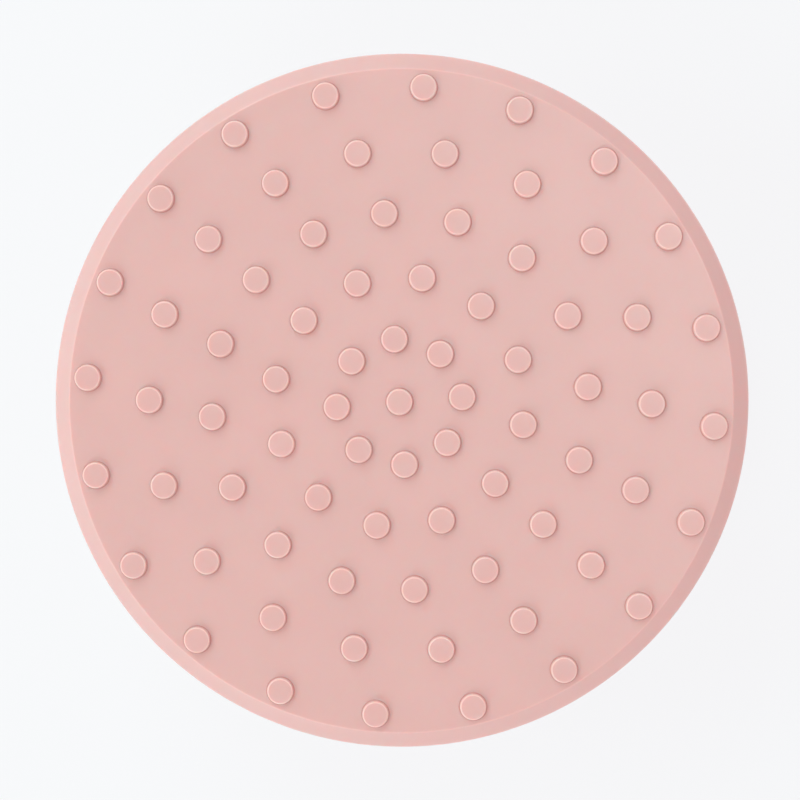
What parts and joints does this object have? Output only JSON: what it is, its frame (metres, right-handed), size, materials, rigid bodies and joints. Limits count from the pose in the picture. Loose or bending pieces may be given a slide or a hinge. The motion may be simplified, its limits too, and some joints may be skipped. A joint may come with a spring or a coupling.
{
  "type": "facial cleansing brush",
  "caption": "Round palm-held facial cleansing brush with a studded silicone face, a bevelled rim, a vibration motor, a power button in the back and a covered charging port.",
  "frame": {"origin": "centre of the flat back, which the brush lies on, under the middle of the studded face", "axes": "+Z out of the back towards the studded face, -Y towards the charging port, +X to the right when the port is nearest the viewer"},
  "size_m": [0.08, 0.08, 0.0286],
  "materials": {
    "silicone": "matte",
    "shell_plastic": "satin",
    "button_plastic": "satin",
    "inner_plastic": "matte",
    "clear_plastic": "gloss",
    "grey_rubber": "matte",
    "steel": "satin",
    "motor_metal": "satin",
    "bronze": "satin",
    "copper": "satin",
    "magnet": "matte",
    "board": "satin",
    "chip": "matte",
    "cell_pouch": "satin",
    "foam": "matte",
    "wire_red": "satin",
    "wire_black": "satin"
  },
  "bodies": {
    "housing": {"silicone_face": "silicone", "front_shell": "inner_plastic", "rear_shell": "shell_plastic", "shell_seal": "grey_rubber", "shell_screw_1": "steel", "shell_screw_2": "steel", "shell_screw_3": "steel", "shell_screw_4": "steel", "motor_can": "motor_metal", "motor_end_cap": "inner_plastic", "motor_bush_front": "bronze", "motor_bush_rear": "bronze", "field_magnet_upper": "magnet", "field_magnet_lower": "magnet", "carbon_brush_left": "chip", "carbon_brush_right": "chip", "motor_damper": "grey_rubber", "motor_clamp": "steel", "motor_clamp_screw_1": "steel", "motor_clamp_screw_2": "steel", "battery_cell": "cell_pouch", "battery_foam_pad": "foam", "battery_protection_board": "board", "battery_connector_socket": "button_plastic", "battery_connector_plug": "button_plastic", "battery_lead_positive": "wire_red", "battery_lead_negative": "wire_black", "motor_lead_positive": "wire_red", "motor_lead_negative": "wire_black", "circuit_board": "board", "microcontroller": "chip", "charger_chip": "chip", "motor_driver_chip": "chip", "board_screw_1": "steel", "board_screw_2": "steel", "switch_body": "chip", "button_boot": "grey_rubber", "boot_clamp_ring": "inner_plastic", "status_led": "clear_plastic", "light_pipe": "clear_plastic", "usb_shell": "steel", "usb_tongue": "chip", "flap_anchor": "silicone"},
    "button": {"power_button": "button_plastic", "switch_plunger": "inner_plastic"},
    "rotor": {"motor_shaft": "steel", "armature": "copper", "commutator": "copper", "eccentric_weight": "motor_metal"},
    "flap": {"port_flap": "silicone"}
  },
  "joints": [
    {"name": "button_press", "type": "slide", "parent": "housing", "child": "button", "axis": [0, 0, 1], "range_m": [0, 0.0006], "stiffness_N_per_m": 1500, "springref_m": -0.0006, "deforming": ["button_boot"]},
    {"name": "rotor_spin", "type": "hinge", "parent": "housing", "child": "rotor", "pos_m": [0, 0.012, 0.0182], "axis": [1, 0, 0], "continuous": true},
    {"name": "flap_swing", "type": "hinge", "parent": "housing", "child": "flap", "pos_m": [-0.0072, -0.0388, 0.00925], "axis": [0, 0, -1], "range_deg": [0, 110]}
  ]
}
